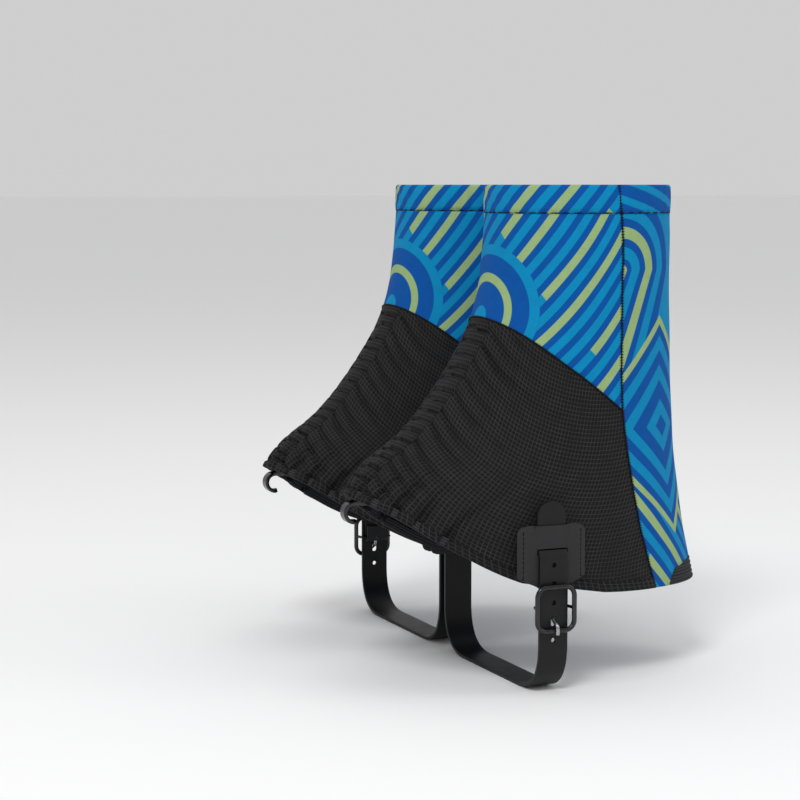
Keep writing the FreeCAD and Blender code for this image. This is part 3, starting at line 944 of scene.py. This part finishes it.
def strapPath():
    x, behind, front, inner = patch["x"], strap["behind"], strap["front"], strap["inner"]
    return roundedPath([
        (Vector((x, behind, strap["tip"])), 0), (Vector((x, behind, 69.8)), 1.6), (Vector((x, front, 65.4)), 1.6),
        (Vector((x, front, strap["bottom"])), strap["bend"]), (Vector((x, inner, strap["bottom"])), strap["bend"]),
        (Vector((x, inner, strap["end"])), 0),
    ])


def downTo(path, z):
    lengths = pathLengths(path)
    for place, (first, last) in enumerate(zip(path, path[1:])):
        if first.z >= z > last.z:
            return lengths[place] + (last - first).length * (first.z - z) / (first.z - last.z)
    return 0.0


def strapHalf(down):
    rest = strap["half"] - down
    return math.sqrt(max(strap["half"] ** 2 - rest ** 2, 0.3)) if rest > 0 else strap["half"]


def anchorHalf(down):
    corner = anchor["corner"]
    near = max(corner - down, down - (anchor["length"] - corner), 0.0)
    return anchor["half"] - corner + math.sqrt(max(corner ** 2 - near ** 2, 0.0))


def anchorBulge(across, down):
    return Vector((0, -1.0 * max(0, (abs(across) - 11) / 5) ** 2, 0))


def roundedLoop(halfWide, halfHigh, corner, x, z, out):
    points = []
    for turn in range(4):
        middleX = x + (halfWide - corner) * (1 if turn in (0, 3) else -1)
        middleZ = z + (halfHigh - corner) * (1 if turn in (0, 1) else -1)
        for k in range(9):
            angle = math.radians(turn * 90 + k * 90 / 8)
            points.append(Vector((middleX + corner * math.cos(angle), out, middleZ + corner * math.sin(angle))))
    return points


def makeBuckle():
    ring = bmesh.new()
    x, z, wide, out = patch["x"], buckle["z"], buckle["halfWide"], buckle["out"]
    line = roundedLoop(wide, buckle["halfHigh"], buckle["corner"], x, z, out)
    tube(ring, line, buckle["bar"], sides=16, closed=True)
    for vert in ring.verts:
        vert.co.y = out + (vert.co.y - out) * buckle["flat"]
    pinWide, pinOut = buckle["pinHalf"], buckle["pinOut"]
    tube(ring, [Vector((x - pinWide, pinOut, z)), Vector((x + pinWide, pinOut, z))], buckle["pin"], sides=16)
    for end in (-1, 1):
        cheek = [Vector((x + end * wide, out, z)), Vector((x + end * pinWide, pinOut, z))]
        tube(ring, cheek, buckle["cheek"], sides=16)
    return ring


def makeProng():
    # from its eye round the pin, through the strap and over the ring's lower bar
    wire = bmesh.new()
    x, z, pinOut, out, tip = patch["x"], buckle["z"], buckle["pinOut"], prong["out"], prong["tip"]
    line = [
        (pinOut + 1.9, z - 0.4, 0), (pinOut + 0.4, z + 2.2, 1.4), (pinOut - 1.2, z + 0.8, 1.2),
        (pinOut - 1.3, z - 4.4, 1.5), (out + 0.6, z - 7.8, 1.3), (out + 0.35, tip + 1.5, 1.2), (out + 0.6, tip, 0),
    ]
    path = roundedPath([(Vector((x, y, height)), radius) for y, height, radius in line], step=0.4)
    return tube(wire, path, prong["wire"], sides=12)


def makeHook():
    middle = Vector((hook["bendX"], 0, hook["z"] - hook["radius"]))
    path = [Vector((x, 0, hook["z"])) for x in (hook["barX"] + 0.6, hook["barX"] - 4.0, hook["barX"] - 7.5)]
    for k in range(31):
        angle = math.radians(90 + hook["sweep"] * k / 30)
        path.append(middle + hook["radius"] * Vector((math.cos(angle), 0, math.sin(angle))))
    total = pathLengths(path)[-1]

    def half(down):
        rest = hook["claw"] - (total - down)
        if rest > 0:
            return math.sqrt(max(hook["claw"] ** 2 - rest ** 2, 0.4))
        return hook["half"] + (hook["claw"] - hook["half"]) * smoothStep((down - 7.0) / 6.0)
    return bentStrip(path, alongY, half, 0.5, [(0.0, 4.6, 0.85, 2.5, 0.0)])


def makeHookLoop():
    # webbing from behind the cloth, round the hook's bar and back up
    x, z, out = hook["barX"], hook["z"], hook["bar"] + hook["loopPlay"]
    line = [
        (x - 6.6, z + 10.5, 0), (x - out - 0.6, z + 1.2, 1.5), (x - out, z - out, 1.5), (x + out, z - out, 1.5),
        (x + out, z + 1.6, 1.5), (x - 4.6, z + 11.4, 0),
    ]
    path = roundedPath([(Vector((across, 0, height)), radius) for across, height, radius in line], step=0.4)
    return bentStrip(path, alongY, lambda down: hook["loopHalf"], 0.7)


def seamPoints(low):
    # down the side seam on the outer side, from the rim to a height
    points = []
    for k in range(240):
        t = 0.02 + (lastStation - 0.02) * k / 239
        point = surface(seamAngle(t), t)
        if point.z < low(point):
            break
        points.append(point)
    return points


def mirrored(points):
    return [Vector((point.x, -point.y, point.z)) for point in points]


def outOfLeg(point):
    # roughly outwards from the leg, for threads
    return Vector((point.x * 0.35, point.y, 0)).normalized()


def snapTo(tree, points, lift=0.05):
    # onto the cloth, leaving out points that would fold the line back on itself
    made = []
    for point in points:
        spot, normal, _, _ = tree.find_nearest(point)
        spot = spot + normal * lift
        if len(made) < 2 or (spot - made[-1]).dot(made[-1] - made[-2]) > 0:
            made.append(spot)
    return made


def outOfCloth(tree):
    return lambda point: tree.find_nearest(point)[1]


def outOfSide(point):
    return Vector((0, -1 if point.y < 0 else 1, 0))


def casingLine(points, columns, rows, half):
    # down one side of the casing, on the cloth's own points
    def away(column, row):
        ridge = points[columns // 2, row][0]
        step = 1 if column > columns // 2 else -1
        return abs(half * step * (points[column, row][0] - ridge).length - gathers["casing"])
    return [
        points[min(range(columns + 1), key=lambda column: away(column, row)), row][0] for row in range(3, rows - 2)
    ]


def makeCloths(side, seed):
    made = {}
    way = 1 if side == "left" else -1
    for name, cloth in panels.items():
        shell, grid = makePanel(name, seed, way)
        made[name] = place(side, shell, cloth["piece"], cloth["finish"], cloth["slot"], name,
                           wall=cloth["wall"], offset=-1.0, lining=cloth["lining"])
        if name == "lower_panel":
            clothTree, roll = BVHTree.FromBMesh(shell), hemRoll(grid, *cloth["cells"])
            points = {key: (vert.co.copy(), vert.normal.copy()) for key, vert in grid.items()}
    place(side, roll, "front_hem", "ripstop", "ripstop", "instep_hem")
    band = place(side, makeCuff(way), "cuff_band", "printCuff", "printed_knit", "cuff_hem", wall=0.6, offset=-1.0)
    band.data.materials.append(finishes["printCuffRear"])
    print(side, "cloths made")
    return made, points, clothTree, BVHTree.FromBMesh(roll)


elastics = {"ribs": 2.3, "ribDepth": 0.32, "heelX": 33.6, "tapeHalf": 4.0, "tape": (172.0, 97.0), "tapeIn": 3.4}


def makeElastics(side):
    # inside the cuff, at the heel, and the tape and band that gather the front
    ring = bmesh.new()
    bmesh.ops.create_grid(ring, x_segments=160, y_segments=6, size=1)
    cloth = {}
    for vert in ring.verts:
        angle, level = (vert.co.x + 1) * math.pi, 230.2 + vert.co.y * 4.4
        vert.co = surface(angle, 0.1, 2.75 + 0.15 * math.sin(angle * 60))
        vert.co.z = level
        cloth[vert] = (angle * cuff["radius"], level)
    setCloth(ring, cloth)
    bmesh.ops.remove_doubles(ring, verts=ring.verts, dist=0.01)
    bmesh.ops.recalc_face_normals(ring, faces=ring.faces)
    place(side, ring, "cuff_elastic_band", "elastic", "elastic", "cuff_elastic", wall=0.8)

    def inFront(angle):
        return surface(angle, tAt(angle, aboveLine("hem"))).x < elastics["heelX"]
    start, rows = solve(inFront, 1.0, math.pi), 18

    def heelSpan(t):
        return start, math.tau - start
    shell, grid = panel(heelSpan, belowLine("heel"), belowLine("hem"), 120, rows, inset=-0.1)
    cloth = {vert: (column, (grid[column, rows].co - vert.co).length) for (column, _), vert in grid.items()}
    moved = {}
    for vert in shell.verts:
        rib = math.sin(cloth[vert][1] * math.tau / elastics["ribs"])
        moved[vert] = vert.co + vert.normal * elastics["ribDepth"] * rib
    for vert, spot in moved.items():
        vert.co = spot
    setCloth(shell, cloth)
    place(side, shell, "heel_band", "elastic", "elastic", "heel_elastic", wall=0.9, offset=-1.0)

    def tapeSpan(t):
        half = elastics["tapeHalf"] / station(t)[4]
        return -half, half
    high, low = elastics["tape"]
    shell, _ = panel(tapeSpan, belowLevel(high), belowLevel(low), 8, 120, inset=elastics["tapeIn"])
    setCloth(shell, {vert: (vert.co.y, vert.co.z) for vert in shell.verts})
    place(side, shell, "gather_band", "elastic", "elastic", "gather_tape", wall=0.8, offset=-1.0)
    shell, grid = panel(frontSpan, belowLine("hem", lift=hem["elastic"]), belowLine("hem"), 160, 6,
                        inset=hem["elasticIn"])
    setCloth(shell, {vert: (column * 1.2, row * 0.8) for (column, row), vert in grid.items()})
    place(side, shell, "hem_elastic", "elastic", "elastic", "instep_elastic", wall=0.7, offset=-1.0)
    print(side, "elastics made")


def makeHardware(side):
    line = strapPath()
    opening = (0.0, patch["top"] - patch["slotZ"], patch["slotRadius"], patch["slotHalf"], 0.0)
    flat = bentStrip(patchPath(), alongX, patchHalf, 0.55, [opening], patchBulge)
    place(side, flat, "side_patch", "patch", "coated_patch", "buckle_patch", wall=patch["wall"], bevel=0.25)
    openings = [(0.0, downTo(line, z), strap["holeRadius"]) for z in strap["holes"]]
    slotHigh, slotLow = (downTo(line, z) for z in reversed(strap["slot"]))
    radius = strap["slotRadius"]
    openings.append((0.0, (slotHigh + slotLow) / 2, radius, 0.0, (slotLow - slotHigh) / 2 - radius))
    flat = bentStrip(line, alongX, strapHalf, 1.1, openings)
    place(side, flat, "under_strap", "strap", "strap_rubber", "strap", wall=strap["wall"], bevel=0.3)
    path = [Vector((patch["x"], anchor["y"], anchor["top"] - k)) for k in range(anchor["length"] + 1)]
    flat = bentStrip(path, alongX, anchorHalf, 0.8, [], anchorBulge)
    place(side, flat, "anchor_plate", "patch", "coated_patch", "strap_anchor_patch",
          wall=anchor["wall"], bevel=0.25)
    place(side, makeBuckle(), "buckle_ring", "blackMetal", "black_metal", "buckle_frame", body="buckle")
    place(side, makeProng(), "steel_prong", "brightMetal", "bright_metal", "buckle_prong", body="prong")
    place(side, makeHook(), "lace_claw", "blackMetal", "black_metal", "lace_hook",
          body="hook", wall=hook["wall"], bevel=0.3)
    ends = [Vector((hook["barX"], y, hook["z"])) for y in (-hook["barHalf"], hook["barHalf"])]
    place(side, tube(bmesh.new(), ends, hook["bar"], 16), "hook_bar", "blackMetal", "black_metal", body="hook")
    place(side, makeHookLoop(), "hook_webbing", "webbing", "webbing", "hook_loop", wall=hook["loopWall"])
    print(side, "strap, buckle and hook made")


def makeThreads(side, points, clothTree, hemTree):
    sewing = bmesh.new()
    ring = []
    for k in range(361):
        angle = math.radians(k)
        ring.append(surface(angle, tAt(angle, aboveLevel(cuff["low"] + 0.4)), -0.1))
    stitches(sewing, ring, "cuff", outOfLeg, lift=0.05)
    seam = seamPoints(lambda point: max(along("hem", point.x), 44.0))
    for line in (seam, mirrored(seam)):
        raised = [point + outOfLeg(point) * 0.12 for point in line]
        tube(sewing, raised[::2], threads["seam"], 8)
        stitches(sewing, raised, "tick", outOfLeg, across=True, lift=0.12)
    # the gathered panel's upper edge, the casing's two sides and the hem
    columns, rows = panels["lower_panel"]["cells"]
    edge = [points[column, 0][0] + points[column, 0][1] * 0.15 for column in range(0, columns + 1, 2)]
    tube(sewing, edge, threads["piping"], 8)
    for half in (-1, 1):
        line = casingLine(points, columns, rows, half)
        stitches(sewing, snapTo(clothTree, line), "casing", outOfCloth(clothTree), lift=0.02)
    line = []
    for column in range(4, columns - 3):
        (foot, normal), (above, _) = points[column, rows], points[column, rows - 1]
        line.append(foot + normal * 0.55 + (above - foot).normalized() * hem["sewn"])
    stitches(sewing, snapTo(hemTree, line), "hem", outOfCloth(hemTree))
    place(side, sewing, "threads", "thread", "ripstop")

    tacks = bmesh.new()
    x, out, inner = patch["x"], patch["out"] - patch["wall"] / 2, 50.75
    lines = []
    for end in (-1, 1):
        lines += [
            [(x + end * 14.9, out + 0.25, 76.5), (x + end * 14.9, out + 0.25, 56.0)],
            [(x + end * 14.9, out + 0.25, 55.0), (x + end * 9.0, out, 54.0)],
            [(x + end * 13.4, inner, 77.0), (x + end * 13.4, inner, 53.0)],
        ]
    lines += [[(x - 13.0, inner + 0.05, z), (x + 13.0, inner + 0.05, z)] for z in (77.6, 52.4)]
    for line in lines:
        stitches(tacks, [Vector(spot) for spot in line], "patch", outOfSide)
    place(side, tacks, "patch_stitches", "thread", "coated_patch")
    print(side, "threads made")


for side, seed in (("left", 1.0), ("right", 2.6)):
    made, points, clothTree, hemTree = makeCloths(side, seed)
    makeElastics(side)
    makeHardware(side)
    makeThreads(side, points, clothTree, hemTree)
    rivets = frame["nodes"][side + "_anchor_rivets"].data.materials
    rivets.clear()
    rivets.append(finishes["blackMetal"])


# Floor, light and camera

studio = {"floor": 40.0, "shade": (0.96, 0.96, 0.965, 1), "fill": 0.62}
ground = bmesh.new()
bmesh.ops.create_grid(ground, x_segments=2, y_segments=2, size=studio["floor"])
floorMesh = bpy.data.meshes.new("floor")
ground.to_mesh(floorMesh)
ground.free()
floor = bpy.data.objects.new("floor", floorMesh)
bpy.context.scene.collection.objects.link(floor)
floorFinish = Finish("floorPaper", Roughness=0.85, Specular_IOR_Level=0.1)
floorFinish.colour(studio["shade"])
floorMesh.materials.append(floorFinish.material)

world = bpy.data.worlds.new("studio")
world.use_nodes = True
world.node_tree.nodes["Background"].inputs["Color"].default_value = (1, 1, 1, 1)
world.node_tree.nodes["Background"].inputs["Strength"].default_value = studio["fill"]
bpy.context.scene.world = world

lamps = {
    # place, aim, size, watts
    "key": ((-0.9, -1.1, 1.6), (0.0, -0.05, 0.12), 0.55, 15.0),
    "side": ((1.3, -0.9, 0.8), (0.0, -0.05, 0.12), 0.7, 2.5),
    "top": ((0.1, 0.2, 1.9), (0.0, 0.0, 0.1), 1.2, 4.0),
}
for name, (spot, aim, size, watts) in lamps.items():
    lamp = bpy.data.lights.new(name, "AREA")
    lamp.size, lamp.energy = size, watts
    holder = bpy.data.objects.new(name, lamp)
    holder.location = spot
    holder.rotation_euler = (Vector(aim) - Vector(spot)).to_track_quat("-Z", "Y").to_euler()
    bpy.context.scene.collection.objects.link(holder)

viewpoint = {"place": (-0.451, -0.958, 0.237), "azimuth": -23.2, "down": 5.9, "lens": 93.6}
lens = bpy.data.cameras.new("camera")
lens.lens, lens.sensor_width, lens.clip_start = viewpoint["lens"], 36.0, 0.01
camera = bpy.data.objects.new("camera", lens)
camera.location = viewpoint["place"]
camera.rotation_euler = (math.radians(90 - viewpoint["down"]), 0, math.radians(viewpoint["azimuth"]))
bpy.context.scene.collection.objects.link(camera)
bpy.context.scene.camera = camera
bpy.context.scene.view_settings.view_transform = "Standard"
print("stage set")
